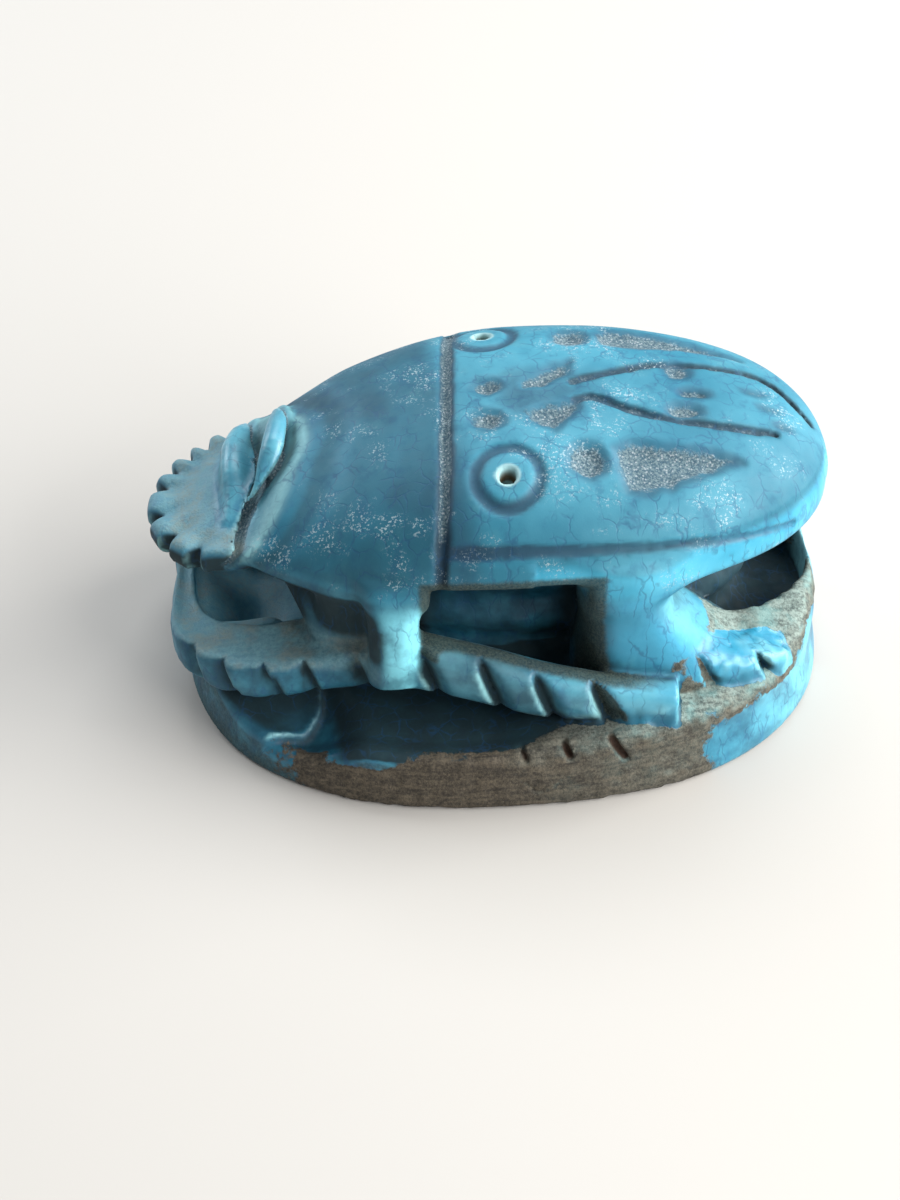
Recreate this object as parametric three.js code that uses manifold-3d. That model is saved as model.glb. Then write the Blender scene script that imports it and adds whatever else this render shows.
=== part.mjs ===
// Scarab amulet: a beetle with its legs folded along an oval base, all carved
// from one piece of stone and glazed. It is one solid.
// X runs from the head (negative) to the tail, Y across, Z up from the flat
// underside of the base, whose middle is the origin. Lengths in millimetres.
import * as THREE from "three";
import { mergeVertices } from "three/addons/utils/BufferGeometryUtils.js";
import Module from "manifold-3d";

const wasm = await Module();
wasm.setup();

// Oval base: its plan, the rim's height in front and behind, and its bevel.
const baseLength = 64;
const baseWidth = 49.4;
const baseBend = 2.4;
const baseBevel = 0.4;
const wallLean = 0.8;
const rimFront = 5.8;
const rimRear = 8;
const ledgeDrop = 0.7;

// Beetle's body: length before and behind its widest place, width, the height
// of its widest line, of its back above that and of its belly below it.
const bodyMiddle = 2;
const bodyFore = 32;
const bodyAft = 28.6;
const bodyWidth = 34.4;
const beltHeight = 19;
const backRise = 10.9;
const bellyDrop = 5;
const planBend = 2.15;
const sectionBend = 2.35;

// The back's highest place, and how far it falls to the belt either way.
const crestPlace = 1;
const crestFore = 27;
const crestAft = 30;
const foreBend = 1.6;
const aftBend = 2.35;

// Core of stone left standing between belly and base.
const coreWidth = 21;
const coreFore = 20;
const coreAft = 22;

// Collar, where the thorax ends: its foot on the belt and its lean.
const collarPlace = -24.6;
const collarLean = 40;

// Head: a fan of lobes around its middle, with its heights and tilt.
const headPlace = -24.2;
const headReach = 9.9;
const headWidth = 20.4;
const headTop = 22.6;
const headTip = 18.2;
const headThickness = 3.4;
const lobeCount = 9;
const lobeDepth = 1.1;
const crescentThickness = 2.8;
const crescentBow = 1.6;
const neckThickness = 2.2;
const neckBow = 1.2;

// Legs: the folded bars with the notches along them, and the upright parts that
// join them to the body. Length runs along the beetle, width across it.
const frontLegWidth = 6.6;
const frontLegHeight = 4;
const midLegWidth = 3.4;
const midLegHeight = 4.8;
const hindLegWidth = 4.6;
const hindLegHeight = 4.2;
const notchDepth = 1.1;
const notchWidth = 1.3;
const shoulderLength = 5.6;
const shoulderWidth = 4.4;
const upperArmLength = 8.8;
const upperArmWidth = 5.2;
const thighLength = 8;
const thighWidth = 6.2;
const webLength = 7.6;
const webWidth = 7;

// Carving of the back: depth of the cuts and width of the long grooves.
const carvingDepth = 0.9;
const eyeDepth = 1.7;
const grooveWidth = 1.5;
const grooveSkew = 1.8;
const ringDiameter = 7.4;
const ringGroove = 1;
const eyeDiameter = 1.5;
const pitDiameter = 3.9;
const cutFoot = 0.4;

// Side window between the middle and hind legs, cut up into the body's flank.
const windowFront = -8.6;
const windowRear = 7.6;
const windowRise = 3;
const windowDrop = 1.4;

const baseHalfLength = baseLength / 2;
const baseHalfWidth = baseWidth / 2;
const bodyHalfWidth = bodyWidth / 2;
const coreHalfWidth = coreWidth / 2;

// Distance from a superellipse's middle to its edge in one direction.
function superRadius(angle, reachX, reachY, bend) {
  const x = Math.abs(Math.cos(angle)) / reachX;
  const y = Math.abs(Math.sin(angle)) / reachY;
  return (x ** bend + y ** bend) ** (-1 / bend);
}

// One minus the power of a share, taken back to the same power: a rounded fall
// from one at the middle to nothing at the edge.
function roundFall(share, bend) {
  return Math.max(0, 1 - Math.min(1, Math.abs(share)) ** bend) ** (1 / bend);
}

function easeStep(low, high, value) {
  return THREE.MathUtils.smoothstep(value, low, high);
}

// Closed geometry through a row of rings, each end closed by a fan.
function loft(rings, start, end) {
  const count = rings[0].length;
  const points = [start, ...rings.flat(), end];
  const index = [];
  const last = points.length - 1;
  for (let i = 0; i < count; i++) {
    const next = (i + 1) % count;
    index.push(0, 1 + next, 1 + i);
    index.push(last, last - count + i, last - count + next);
    for (let level = 0; level < rings.length - 1; level++) {
      const low = 1 + level * count;
      const high = low + count;
      index.push(low + i, low + next, high + next);
      index.push(low + i, high + next, high + i);
    }
  }
  const geometry = new THREE.BufferGeometry().setFromPoints(points);
  geometry.setIndex(index);
  return geometry;
}

// Six times the volume that a geometry encloses, negative when inside out.
function signedVolume(vertices, triangles) {
  let sum = 0;
  const corners = [new THREE.Vector3(), new THREE.Vector3(), new THREE.Vector3()];
  for (let i = 0; i < triangles.length; i += 3) {
    corners.forEach((corner, k) => corner.fromArray(vertices, 3 * triangles[i + k]));
    sum += corners[0].dot(corners[1].clone().cross(corners[2]));
  }
  return sum;
}

// A geometry as a solid that can be joined and cut, its faces pointing out.
function solid(geometry) {
  geometry.deleteAttribute("normal");
  geometry.deleteAttribute("uv");
  const merged = mergeVertices(geometry, 1e-4);
  const vertProperties = new Float32Array(merged.attributes.position.array);
  const triVerts = new Uint32Array(merged.index.array);
  if (signedVolume(vertProperties, triVerts) < 0) {
    triVerts.reverse();
  }
  return new wasm.Manifold(new wasm.Mesh({ numProp: 3, vertProperties, triVerts }));
}

function evenAngles(count) {
  return Array.from({ length: count }, (_, i) => (2 * Math.PI * i) / count);
}

// A low mound or disc on a plan outline. Each layer is a share of the outline's
// reach and a height at each place, from the middle below to the middle above.
function mound(centreX, radius, angles, layers) {
  const rings = layers.map(([share, height]) => angles.map((angle) => {
    const x = centreX + share * radius(angle) * Math.cos(angle);
    const y = share * radius(angle) * Math.sin(angle);
    return new THREE.Vector3(x, y, height(x, y));
  }));
  const foot = new THREE.Vector3(centreX, 0, layers[0][1](centreX, 0));
  const top = new THREE.Vector3(centreX, 0, layers.at(-1)[1](centreX, 0));
  return solid(loft(rings, foot, top));
}

// Rounded section around a point, reaching out by two half-axes. The reach to
// the outer side can be smaller, where a notch is cut.
function section(centre, across, up, notch = 0) {
  const ring = [];
  const sides = 8;
  const squareness = 0.72;
  for (let i = 0; i < sides; i++) {
    const angle = (2 * Math.PI * (i + 0.5)) / sides;
    const c = Math.sign(Math.cos(angle)) * Math.abs(Math.cos(angle)) ** squareness;
    const s = Math.sign(Math.sin(angle)) * Math.abs(Math.sin(angle)) ** squareness;
    const reach = c > 0 ? c * (1 - notch) : c;
    ring.push(centre.clone().addScaledVector(across, reach).addScaledVector(up, s));
  }
  return ring;
}

// Folded leg: a bar along a curve, wider than high or the other way round, with
// notches cut in its outer side. Widths and heights run from start to end.
function legBar(path, widths, heights, notches) {
  const curve = new THREE.CatmullRomCurve3(path);
  const length = curve.getLength();
  const steps = 7;
  const stops = new Map();
  for (let i = 0; i <= steps; i++) {
    stops.set(i / steps, 0);
  }
  const half = notchWidth / 2 / length;
  for (const place of notches) {
    for (const stop of [...stops.keys()]) {
      if (Math.abs(stop - place) < 1.5 * half) {
        stops.delete(stop);
      }
    }
    stops.set(place - half, 0);
    stops.set(place, 1);
    stops.set(place + half, 0);
  }
  const rings = [...stops.keys()].sort((a, b) => a - b).map((stop) => {
    const centre = curve.getPointAt(stop);
    const tangent = curve.getTangentAt(stop);
    const side = new THREE.Vector3(tangent.y, -tangent.x, 0).normalize();
    if (side.x * centre.x / baseLength + side.y * centre.y / baseWidth < 0) {
      side.negate();
    }
    const taper = Math.min(1, 0.62 + 6 * Math.min(stop, 1 - stop));
    const width = THREE.MathUtils.lerp(widths[0], widths[1], stop) / 2 * taper;
    const height = THREE.MathUtils.lerp(heights[0], heights[1], stop) / 2 * taper;
    const up = new THREE.Vector3(0, 0, height);
    return section(centre, side.multiplyScalar(width), up, stops.get(stop) * notchDepth / width);
  });
  return solid(loft(rings, curve.getPointAt(0), curve.getPointAt(1)));
}

// Upright part of a leg from its foot up into the body. Each stop is a place and
// the shares of the part's length and width there.
function column(length, width, stops) {
  const rings = stops.map(([place, lengthShare, widthShare]) => {
    const halfLength = new THREE.Vector3(length / 2 * lengthShare, 0, 0);
    const halfWidth = new THREE.Vector3(0, width / 2 * widthShare, 0);
    return section(place, halfLength, halfWidth);
  });
  return solid(loft(rings, stops[0][0], stops.at(-1)[0]));
}

// Height of the base's rim, which rises towards the tail.
function rimHeight(x) {
  const share = x / baseHalfLength;
  return THREE.MathUtils.lerp(rimFront, rimRear, easeStep(0.05, 0.5, share));
}

// Half-width of the beetle's body at a place along it.
function bodyHalf(x, shrink) {
  const reach = (x < bodyMiddle ? bodyFore : bodyAft) - shrink;
  return (bodyHalfWidth - shrink) * roundFall((x - bodyMiddle) / reach, planBend);
}

// Height of the back over a place, lowered evenly by the carving's depth.
function backHeight(x, y, shrink) {
  const fore = x < crestPlace;
  const fall = roundFall((x - crestPlace) / (fore ? crestFore : crestAft), fore ? foreBend : aftBend);
  const rise = (backRise - shrink) * fall;
  const share = y / Math.max(0.01, bodyHalf(x, shrink));
  return beltHeight + rise * roundFall(share, sectionBend);
}

function bellyHeight(x, y) {
  const share = y / Math.max(0.01, bodyHalf(x, 0));
  return beltHeight - bellyDrop * roundFall(share, 2) * roundFall((x - bodyMiddle) / bodyFore, 2);
}

// Body: round belly below the belt, high domed back above it.
function bodySolid(shrink) {
  const radius = (angle) => {
    const reach = Math.cos(angle) < 0 ? bodyFore : bodyAft;
    return superRadius(angle, reach - shrink, bodyHalfWidth - shrink, planBend);
  };
  const layers = [];
  for (const share of [0.45, 0.75, 0.93]) {
    layers.push([share, bellyHeight]);
  }
  layers.push([1, () => beltHeight]);
  const arcs = 8;
  for (let i = arcs - 1; i > 0; i--) {
    const share = Math.sin((Math.PI / 2) * (i / arcs));
    layers.push([share, (x, y) => backHeight(x, y, shrink)]);
  }
  return mound(bodyMiddle, radius, evenAngles(48), layers);
}

// Straight-sided cutter through the back on a plan outline of points.
function stamp(points, holes = []) {
  const shape = new THREE.Shape(points);
  shape.holes.push(...holes.map((hole) => new THREE.Path(hole)));
  const depth = 2 * backRise;
  const geometry = new THREE.ExtrudeGeometry(shape, { depth, bevelEnabled: false });
  geometry.translate(0, 0, beltHeight + cutFoot);
  return solid(geometry);
}

function circlePoints(x, y, diameter, count) {
  const circle = new THREE.EllipseCurve(x, y, diameter / 2, diameter / 2);
  return circle.getPoints(count).slice(0, -1);
}

// Band of one width along a row of plan points, tapering to its end if asked.
function bandPoints(row, width, endWidth) {
  const left = [];
  const right = [];
  const curve = new THREE.SplineCurve(row.map(([x, y]) => new THREE.Vector2(x, y)));
  const steps = 6;
  for (let i = 0; i <= steps; i++) {
    const point = curve.getPointAt(i / steps);
    const tangent = curve.getTangentAt(i / steps);
    const half = THREE.MathUtils.lerp(width, endWidth, i / steps) / 2;
    const normal = new THREE.Vector2(-tangent.y, tangent.x).multiplyScalar(half);
    left.push(point.clone().add(normal));
    right.unshift(point.clone().sub(normal));
  }
  return [...left, ...right];
}

// Places on the beetle's back as shares of its length and half-width.
function along(share) {
  return bodyMiddle + share * (share < 0 ? bodyFore : bodyAft);
}

function across(share) {
  return share * bodyHalfWidth;
}

// Places among the legs: shares of the base's plan, and of the way up from the
// front rim to the belt.
function among(x, y, z, side) {
  const height = rimFront + z * (beltHeight - rimFront);
  return new THREE.Vector3(x * baseHalfLength, side * y * baseHalfWidth, height);
}

function unite(solids) {
  return solids.reduce((sum, next) => sum.add(next));
}

// Base with a rounded foot, a low rim and a shallow ledge inside it.
function baseSolid() {
  const radius = (angle) => superRadius(angle, baseHalfLength, baseHalfWidth, baseBend);
  const inset = (length) => 1 - length / baseHalfWidth;
  return mound(0, radius, evenAngles(56), [
    [inset(baseBevel), () => 0],
    [1, () => baseBevel],
    [inset(wallLean), (x) => rimHeight(x) - baseBevel],
    [inset(wallLean + baseBevel), rimHeight],
    [0.84, (x) => rimHeight(x) - ledgeDrop],
  ]);
}

// Core between the belly and the base, its foot sunk into the base.
function coreSolid() {
  const radius = (angle) => {
    const reach = Math.cos(angle) < 0 ? coreFore : coreAft;
    return superRadius(angle, reach, coreHalfWidth, planBend);
  };
  const foot = rimFront - 2 * ledgeDrop;
  const waist = (rimRear + beltHeight) / 2;
  return mound(bodyMiddle, radius, evenAngles(32), [
    [1.06, () => foot],
    [1.02, () => rimRear],
    [1, () => waist],
    [1, () => beltHeight],
  ]);
}

// Head: the lobes run round the front, and the top falls towards their tips.
function headSolid() {
  const lobeSpan = Math.PI * 1.02;
  const radius = (angle) => {
    const fromFront = Math.abs(angle - Math.PI);
    const reach = superRadius(angle, headReach, headWidth / 2, 2);
    if (fromFront > lobeSpan / 2) {
      return reach - lobeDepth / 2;
    }
    const phase = ((angle - Math.PI) / lobeSpan) * lobeCount;
    return reach - lobeDepth * (1 - Math.abs(Math.cos(Math.PI * phase)) ** 0.6);
  };
  const angles = [];
  for (let i = 0; i <= 4 * lobeCount; i++) {
    angles.push(Math.PI + lobeSpan * (i / (4 * lobeCount) - 0.5));
  }
  for (let i = 1; i < 8; i++) {
    angles.push(Math.PI + lobeSpan / 2 + (2 * Math.PI - lobeSpan) * (i / 8));
  }
  const topHeight = (x, y) => {
    const forward = (headPlace + 3 - x) / (headReach + 3);
    const sideFall = (headTop - headTip) * 0.35 * Math.abs(y / (headWidth / 2)) ** 2.2;
    return headTop - (headTop - headTip) * forward ** 1.1 - sideFall;
  };
  const rise = (x, y) => topHeight(Math.min(x, headPlace + 2), y);
  const under = (x, y) => rise(x, y) - headThickness;
  return mound(headPlace, radius, angles, [
    [0.5, (x, y) => under(x, y) - headThickness / 3],
    [0.86, (x, y) => under(x, y)],
    [0.99, (x, y) => rise(x, y) - headThickness * 0.62],
    [1, (x, y) => rise(x, y) - headThickness * 0.3],
    [0.93, rise],
    [0.5, rise],
  ]);
}

// Raised crescent across the head, and the lower band behind it.
function headRidges() {
  const crescent = (place, height, bow, thickness) => {
    const rings = [];
    const steps = 12;
    for (let i = 0; i <= steps; i++) {
      const share = (2 * i) / steps - 1;
      const fall = Math.abs(share) ** 2.2;
      const x = headPlace - place + bow * fall;
      const z = height - (headTop - headTip) * 0.6 * fall;
      const reach = thickness / 2 * THREE.MathUtils.lerp(0.45, 1, roundFall(share, 2));
      const centre = new THREE.Vector3(x, share * headWidth * 0.47, z);
      rings.push(section(centre, new THREE.Vector3(reach, 0, 0), new THREE.Vector3(0, 0, reach)));
    }
    const ends = [rings[0], rings.at(-1)].map((ring) =>
      ring.reduce((sum, point) => sum.add(point), new THREE.Vector3()).divideScalar(ring.length));
    return solid(loft(rings, ends[0], ends[1]));
  };
  const fall = headTop - headTip;
  const front = crescent(headReach * 0.15, headTop - 0.2 * fall, crescentBow, crescentThickness);
  const rear = crescent(-headReach * 0.25, headTop + 0.1 * fall, neckBow, neckThickness);
  return front.add(rear);
}

// One side's legs: shoulder column, folded front and middle legs, thigh and foot.
function legSolids(side) {
  const front = legBar(
    [among(-0.41, 0.56, 0.47, side), among(-0.66, 0.54, 0.3, side),
      among(-0.88, 0.44, 0.19, side), among(-0.94, 0.2, 0.16, side), among(-0.93, 0, 0.15, side)],
    [frontLegWidth, frontLegWidth * 0.9], [frontLegHeight, frontLegHeight],
    [0.12, 0.25, 0.35, 0.45, 0.57]);
  const middle = legBar(
    [among(-0.4, 0.63, 0.52, side), among(-0.14, 0.71, 0.42, side),
      among(0.1, 0.76, 0.28, side), among(0.43, 0.8, 0.2, side)],
    [midLegWidth, midLegWidth * 0.85], [midLegHeight, midLegHeight * 0.9],
    [0.22, 0.44, 0.6, 0.75]);
  const foot = legBar(
    [among(0.27, 0.69, 0.36, side), among(0.46, 0.7, 0.28, side),
      among(0.64, 0.65, 0.2, side), among(0.8, 0.54, 0.16, side)],
    [hindLegWidth, hindLegWidth * 0.8], [hindLegHeight * 1.3, hindLegHeight * 0.8],
    [0.34, 0.56, 0.8]);
  const spot = (x, y, z) => among(x, y, z, side);
  const shoulder = column(shoulderLength, shoulderWidth, [
    [spot(-0.37, 0.6, 0.36), 1, 0.9],
    [spot(-0.36, 0.61, 0.6), 0.96, 0.96],
    [spot(-0.36, 0.57, 0.85), 1.14, 1.18],
    [spot(-0.36, 0.45, 1.15), 1.57, 1.36],
  ]);
  const shoulderWeb = column(webLength, webWidth, [
    [spot(-0.44, 0.34, -0.05), 0.95, 0.97],
    [spot(-0.44, 0.4, 0.4), 1.1, 1.08],
    [spot(-0.44, 0.4, 1), 1.2, 1.14],
  ]);
  const upperArm = column(upperArmLength, upperArmWidth, [
    [spot(-0.54, 0.47, 0.4), 0.68, 0.92],
    [spot(-0.56, 0.45, 0.75), 1, 1],
    [spot(-0.6, 0.36, 1.05), 1.22, 1.15],
  ]);
  const thigh = column(thighLength, thighWidth, [
    [spot(0.33, 0.64, 0.02), 0.85, 0.97],
    [spot(0.33, 0.65, 0.4), 1, 1.03],
    [spot(0.34, 0.6, 0.75), 1.05, 0.97],
    [spot(0.36, 0.48, 1.15), 1.35, 1.1],
  ]);
  const thighWeb = column(webLength, webWidth, [
    [spot(0.36, 0.48, -0.1), 0.95, 0.91],
    [spot(0.36, 0.48, 0.5), 0.9, 0.86],
    [spot(0.38, 0.42, 1), 1.16, 0.97],
  ]);
  return unite([front, middle, foot, shoulder, shoulderWeb, upperArm, thigh, thighWeb]);
}

// Cutter of one side window, its roof sloping up to the flank.
function windowCut(side) {
  const inner = side * coreHalfWidth;
  const outer = side * bodyHalfWidth * 1.06;
  const floor = beltHeight - 1.4 * bellyDrop;
  const profile = new THREE.Shape([
    new THREE.Vector2(inner, floor),
    new THREE.Vector2(outer, floor),
    new THREE.Vector2(outer, beltHeight + windowRise * 1.3),
    new THREE.Vector2(side * bodyHalfWidth * 0.92, beltHeight + windowRise * 0.8),
    new THREE.Vector2(inner, beltHeight - windowDrop),
  ]);
  const depth = windowRear - windowFront;
  const geometry = new THREE.ExtrudeGeometry(profile, { depth, bevelEnabled: false });
  geometry.rotateX(Math.PI / 2);
  geometry.rotateZ(Math.PI / 2);
  geometry.translate(windowFront, 0, 0);
  return solid(geometry);
}

// Everything in front of the leaning collar, above the belly.
function collarCut() {
  const box = new THREE.BoxGeometry(bodyFore, bodyWidth, 4 * backRise);
  box.translate(-bodyFore / 2, 0, 0);
  box.rotateY(THREE.MathUtils.degToRad(collarLean));
  box.translate(collarPlace, 0, beltHeight);
  return solid(box);
}

// Middle of the ringed eye on one wing case.
function eyePlace(side) {
  return [along(-0.1), side * across(0.57)];
}

// Cutter of the shallow cuts on one wing case: ring, pits, wedges and grooves.
function wingCarving(side) {
  const ring = stamp(
    circlePoints(...eyePlace(side), ringDiameter, 20),
    [circlePoints(...eyePlace(side), ringDiameter - 2 * ringGroove, 16)]);
  const pit = stamp(circlePoints(along(0.16), side * across(0.52), pitDiameter, 12));
  const spot = (x, y) => new THREE.Vector2(along(x), side * across(y));
  const wedge = stamp([
    spot(0.235, 0.45), spot(0.25, 0.56), spot(0.29, 0.63), spot(0.43, 0.59),
    spot(0.58, 0.5), spot(0.72, 0.43), spot(0.5, 0.4), spot(0.33, 0.39),
  ]);
  const innerPit = stamp(circlePoints(along(-0.11), side * across(0.17), pitDiameter * 0.85, 10));
  const innerWedge = stamp([
    spot(-0.03, 0.08), spot(0.07, 0.25), spot(0.22, 0.07),
  ]);
  const flank = stamp(bandPoints(
    [[along(-0.22), side * across(0.86)], [along(0.1), side * across(0.87)],
      [along(0.45), side * across(0.8)], [along(0.74), side * across(0.66)]],
    grooveWidth, grooveWidth / 3));
  const leaf = stamp(bandPoints(
    [[along(0.2), side * across(0.03)], [along(0.4), side * across(0.2)],
      [along(0.62), side * across(0.31)], [along(0.86), side * across(0.22)]],
    grooveWidth, grooveWidth / 2));
  return unite([ring, pit, wedge, innerPit, innerWedge, flank, leaf]);
}

// Cuts on the middle line: the line behind the thorax and the small pit.
function middleCarving() {
  const ends = [-1, 0, 1].map((side) =>
    [along(-0.25) + side * grooveSkew, side * bodyHalfWidth * 1.1]);
  const line = stamp(bandPoints(ends, grooveWidth, grooveWidth));
  const pit = stamp(circlePoints(along(0.55), 0, pitDiameter * 0.5, 10));
  return line.add(pit);
}

const lowered = bodySolid(carvingDepth);
const carving = unite([wingCarving(-1), wingCarving(1), middleCarving()]).subtract(lowered);
const eyes = unite([-1, 1].map((side) => stamp(circlePoints(...eyePlace(side), eyeDiameter, 8))));
const eyeHoles = eyes.subtract(bodySolid(eyeDepth));

const body = bodySolid(0)
  .subtract(collarCut())
  .subtract(windowCut(-1))
  .subtract(windowCut(1))
  .subtract(carving)
  .subtract(eyeHoles);

const beetle = unite([body, headSolid(), headRidges(), legSolids(-1), legSolids(1)]);
const whole = unite([baseSolid(), coreSolid(), beetle]);

// Turns a solid back into a mesh geometry.
function geometryOf(manifold) {
  const mesh = manifold.getMesh();
  const geometry = new THREE.BufferGeometry();
  geometry.setAttribute("position", new THREE.BufferAttribute(mesh.vertProperties, 3));
  geometry.setIndex(new THREE.BufferAttribute(mesh.triVerts, 1));
  geometry.computeVertexNormals();
  return geometry;
}

const glaze = new THREE.MeshStandardMaterial({ color: 0x3f9dba, roughness: 0.3, metalness: 0 });
const scarab = new THREE.Mesh(geometryOf(whole), glaze);
scarab.name = "scarab";

const group = new THREE.Group();
group.add(scarab);

export default group;
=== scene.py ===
# Scarab amulet, carved from one piece of soft grey-brown stone and glazed turquoise.
import math
import bpy
import numpy as np
from mathutils import Matrix, Vector


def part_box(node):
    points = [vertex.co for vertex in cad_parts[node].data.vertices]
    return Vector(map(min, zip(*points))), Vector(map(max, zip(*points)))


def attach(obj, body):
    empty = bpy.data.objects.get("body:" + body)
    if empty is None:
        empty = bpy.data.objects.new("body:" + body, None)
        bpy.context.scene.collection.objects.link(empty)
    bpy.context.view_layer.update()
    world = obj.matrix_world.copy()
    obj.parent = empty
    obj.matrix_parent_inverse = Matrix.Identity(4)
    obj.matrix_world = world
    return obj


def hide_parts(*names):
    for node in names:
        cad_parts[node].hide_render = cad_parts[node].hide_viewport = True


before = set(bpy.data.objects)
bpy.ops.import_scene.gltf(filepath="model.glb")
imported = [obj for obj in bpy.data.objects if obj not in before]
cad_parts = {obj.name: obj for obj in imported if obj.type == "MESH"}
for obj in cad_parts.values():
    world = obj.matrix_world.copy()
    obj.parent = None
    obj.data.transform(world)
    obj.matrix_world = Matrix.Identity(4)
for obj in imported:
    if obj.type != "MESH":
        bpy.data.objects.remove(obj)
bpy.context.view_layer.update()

MM = 0.001
low_corner, high_corner = (np.array(corner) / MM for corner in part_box("scarab"))

# The view: a hand-held close look down on the amulet's side, its head to the left.
view_target = Vector((-4.91, 3.69, 0)) * MM
view_distance = 188.16 * MM
view_height = math.radians(44.5)
view_turn = math.radians(-4.49)
back = Vector((math.sin(view_turn) * math.cos(view_height),
               -math.cos(view_turn) * math.cos(view_height), math.sin(view_height)))
right = Vector((math.cos(view_turn), math.sin(view_turn), 0))
camera_data = bpy.data.cameras.new("camera")
camera_data.lens = 54
camera_data.sensor_width = 36
camera_data.clip_start = 0.01
camera = bpy.data.objects.new("camera", camera_data)
axes = Matrix((right, back.cross(right), back)).transposed().to_4x4()
camera.matrix_world = Matrix.Translation(view_target + back * view_distance) @ axes
bpy.context.scene.collection.objects.link(camera)
bpy.context.scene.camera = camera


# Stone block: the whole amulet is one stone, sawn and ground by hand, so its faces
# wander a little. Each form below gives the distance to its skin in millimetres,
# negative inside the stone, and the forms are joined or cut with soft edges.
grain = np.random.default_rng(11).uniform(-1, 1, (32, 32, 32))


def ease(start, end, value):
    """Smooth step from nothing at the start to one at the end, either way round."""
    share = np.clip((value - start) / (end - start), 0, 1)
    return share * share * (3 - 2 * share)


def band(start, full, fade, end, value):
    """One from full to fade, falling smoothly to nothing at start and end."""
    return ease(start, full, value) * ease(end, fade, value)


def lumps(x, y, z, size, shift=0):
    """Smooth random swell between -1 and 1, with lumps of one size."""
    total = 0
    spots = []
    for value in (x, y, z):
        place = value / size + 64 + shift
        whole = np.floor(place)
        part = place - whole
        spots.append((whole.astype(int), part * part * (3 - 2 * part)))
    for corner in range(8):
        weight = 1
        index = []
        for axis, (whole, part) in enumerate(spots):
            bit = corner >> axis & 1
            index.append((whole + bit) % 32)
            weight = weight * (part if bit else 1 - part)
        total = total + weight * grain[tuple(index)]
    return total


def join(first, second, blend):
    """Both forms together, the corner between them filled over one width."""
    share = np.clip(0.5 + 0.5 * (second - first) / blend, 0, 1)
    return second + (first - second) * share - blend * share * (1 - share)


def keep_both(first, second, blend):
    return -join(-first, -second, blend)


def cut(solid, hollow, blend):
    return keep_both(solid, -hollow, blend)


def oval(x, y, reach_x, reach_y, bend):
    """Distance to an oval that gets squarer as its bend grows past 2."""
    u = np.abs(x) / reach_x + 1e-6
    v = np.abs(y) / reach_y + 1e-6
    level = (u**bend + v**bend) ** (1 / bend)
    slope = np.hypot((u / level) ** (bend - 1) / reach_x, (v / level) ** (bend - 1) / reach_y)
    return (level - 1) / slope


def edge_gap(x, y, start, end):
    """Distance in a plane to the straight edge between two places."""
    sx, sy = end[0] - start[0], end[1] - start[1]
    along = np.clip(((x - start[0]) * sx + (y - start[1]) * sy) / (sx * sx + sy * sy), 0, 1)
    return np.hypot(x - start[0] - along * sx, y - start[1] - along * sy)


far_gap = 3.0


def only_near(near, form, x, y, z, *more):
    """A form worked out only close to it, and taken as far away elsewhere."""
    out = np.full(np.shape(x), far_gap)
    out[near] = form(x[near], y[near], z[near], *more)
    return out


def round_fall(share, bend):
    """Rounded fall from one at the middle to nothing at the edge."""
    return np.maximum(0, 1 - np.minimum(1, np.abs(share)) ** bend) ** (1 / bend)


# Oval base: flat below, its wall leaning in a little, with a glazed hollow inside
# the rim in front and rough bare stone behind, where it rises to a crest round the
# dark trench under the tail.
base_reach = high_corner[0]
base_side = high_corner[1]
base_bend = 2.4
wall_lean = 0.9
rim_front = 5.8
rim_rear = 8.0
scoop_depth = 1.0
crest_middle = 20.0
crest_reach = 10.5
crest_side = 9.8
crest_rise = 2.0
trench_floor = 4.6
ledge_middle = (-24.6, -11.6)
ledge_reach = (6.6, 6.2)
ledge_rise = 1.1
near_dip = 2.8
fore_rise = 3.3
rough_rise = 0.35
wall_inset = 0.15

# Where the base's slopes start and end: along the beetle, across it or in from the wall.
rim_climb = (-4, 16)
dip_along = (-14, -21)
dip_across = (-7, -17)
scoop_side = (0.5, 3.6)
scoop_end = (-4, 5)
crest_fall = (0, 6)
crest_start = (11, 17)
under_head = (10, 8)

# Three slanted cuts of the carver's tool in the near wall, each with its two ends,
# half width and depth, and a fine crack that wanders below them.
tool_cuts = (((-0.5, 6.2), (0.0, 5.3), 0.35, 0.4), ((3.5, 6.4), (4.1, 5.4), 0.45, 0.7),
             ((8.0, 6.6), (9.3, 4.6), 0.5, 0.8))
crack_line = ((-0.3, 3.4), (1.0, 1.8), (2.2, 2.2), (3.8, 3.4))
crack_depth = 0.2
crack_half = 0.2


def wall_marks(x, y, z):
    """How deep a place lies in the tool cuts and the crack of the near wall."""
    deepest = 0 * x
    for start, end, width, deep in tool_cuts:
        off = edge_gap(x, z, start, end)
        deepest = np.maximum(deepest, deep * (1 - ease(0.1, width, off)) * ease(-21.6, -22.6, y))
    for start, end in zip(crack_line[:-1], crack_line[1:]):
        off = edge_gap(x, z, start, end)
        deepest = np.maximum(deepest, crack_depth * (1 - ease(0.03, crack_half, off)) * (y < -20))
    return deepest


def crest_form(x, y):
    """Distance to the plan outline of the trench, round which the crest stands."""
    return oval(x - crest_middle, y, crest_reach, crest_side, 2)


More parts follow.
